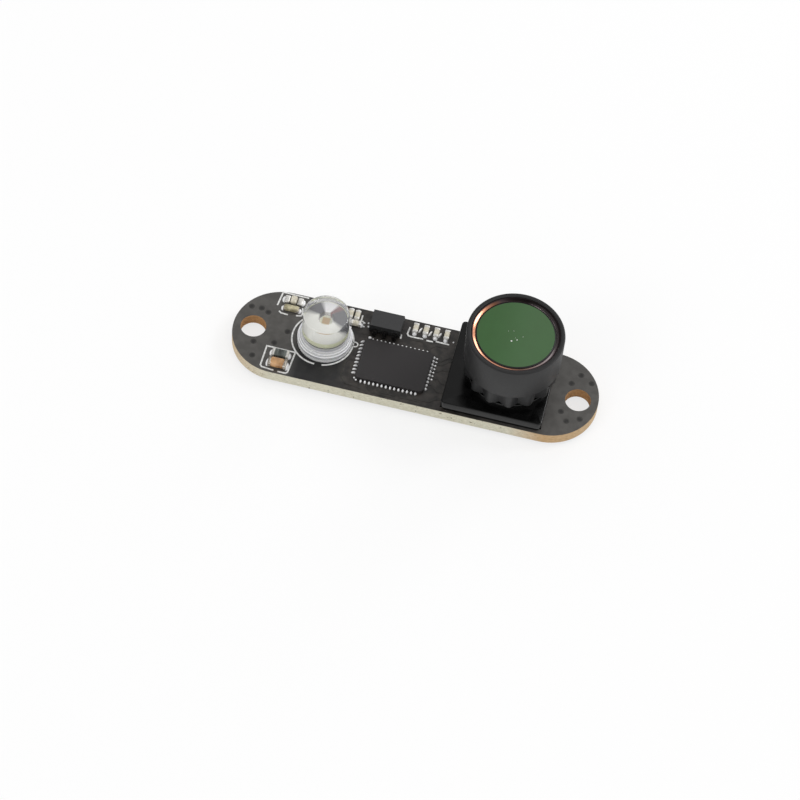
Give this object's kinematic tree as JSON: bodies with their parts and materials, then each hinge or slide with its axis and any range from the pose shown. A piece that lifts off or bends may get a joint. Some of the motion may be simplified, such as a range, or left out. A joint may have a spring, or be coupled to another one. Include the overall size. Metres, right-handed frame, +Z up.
{
  "type": "camera module",
  "caption": "Narrow round-ended circuit board with a camera lens in its holder, a clear lamp and a control chip, held by a screw hole at each end.",
  "frame": {"origin": "midway between the two mounting holes, on the board's underside", "axes": "+X along the board from the lamp to the lens, +Z up out of the board on the lens side"},
  "size_m": [0.0348, 0.0096, 0.0095],
  "materials": {
    "solder": "solder-coated copper, bright",
    "board_mask": "glass-epoxy laminate with black solder mask, satin",
    "tinned_ends": "tin-plated end cap, satin",
    "olive_ceramic": "olive-gold fired ceramic, satin",
    "pale_ceramic": "pale beige fired ceramic, satin",
    "brown_ceramic": "golden-brown fired ceramic, satin",
    "coated_glass": "green anti-reflection coated optical glass",
    "dark_resistor": "dark glazed resistor face",
    "copper_ring": "copper-coloured anodised ring, bright",
    "sensor_ceramic": "dark ceramic carrier, matt",
    "filter_glass": "infrared-blocking filter glass",
    "clear_epoxy": "clear cast epoxy, glossy",
    "silver_lead_frame": "silver-plated lead frame, bright",
    "phosphor": "yellow phosphor in silicone, matt",
    "barrel_plastic": "black turned lens barrel, satin",
    "holder_plastic": "black moulded plastic, glossy",
    "mould_compound": "black epoxy moulding compound, fine matt grain",
    "tinned_copper": "tin-plated copper, satin",
    "optical_glass": "polished optical glass",
    "white_ink": "white screen-printed epoxy ink, matt"
  },
  "bodies": {
    "root": {"cable_lands": "solder", "circuit_board": "board_mask", "clock_capacitor": "pale_ceramic", "clock_capacitor_ends": "tinned_ends", "corner_capacitor": "olive_ceramic", "corner_capacitor_ends": "tinned_ends", "corner_ferrite": "pale_ceramic", "corner_ferrite_ends": "tinned_ends", "front_capacitor": "brown_ceramic", "front_capacitor_ends": "tinned_ends", "front_glass": "coated_glass", "front_resistor": "dark_resistor", "front_resistor_ends": "tinned_ends", "glass_ring": "copper_ring", "image_sensor": "sensor_ceramic", "infrared_filter": "filter_glass", "lamp_resistors": "pale_ceramic", "lamp_resistors_ends": "tinned_ends", "led_body": "clear_epoxy", "led_cup_lead": "silver_lead_frame", "led_phosphor": "phosphor", "led_post_lead": "silver_lead_frame", "led_solder_joints": "solder", "lens_barrel": "barrel_plastic", "lens_holder": "holder_plastic", "lens_spacer": "barrel_plastic", "main_chip": "mould_compound", "main_chip_pads": "tinned_copper", "main_chip_solder": "solder", "middle_lens": "optical_glass", "rear_lens": "optical_glass", "rear_retainer": "barrel_plastic", "regulator_body": "mould_compound", "regulator_leads": "tinned_copper", "row_capacitors": "pale_ceramic", "row_capacitors_ends": "tinned_ends", "sensor_cover_glass": "optical_glass", "sensor_solder": "solder"}
  },
  "joints": []
}
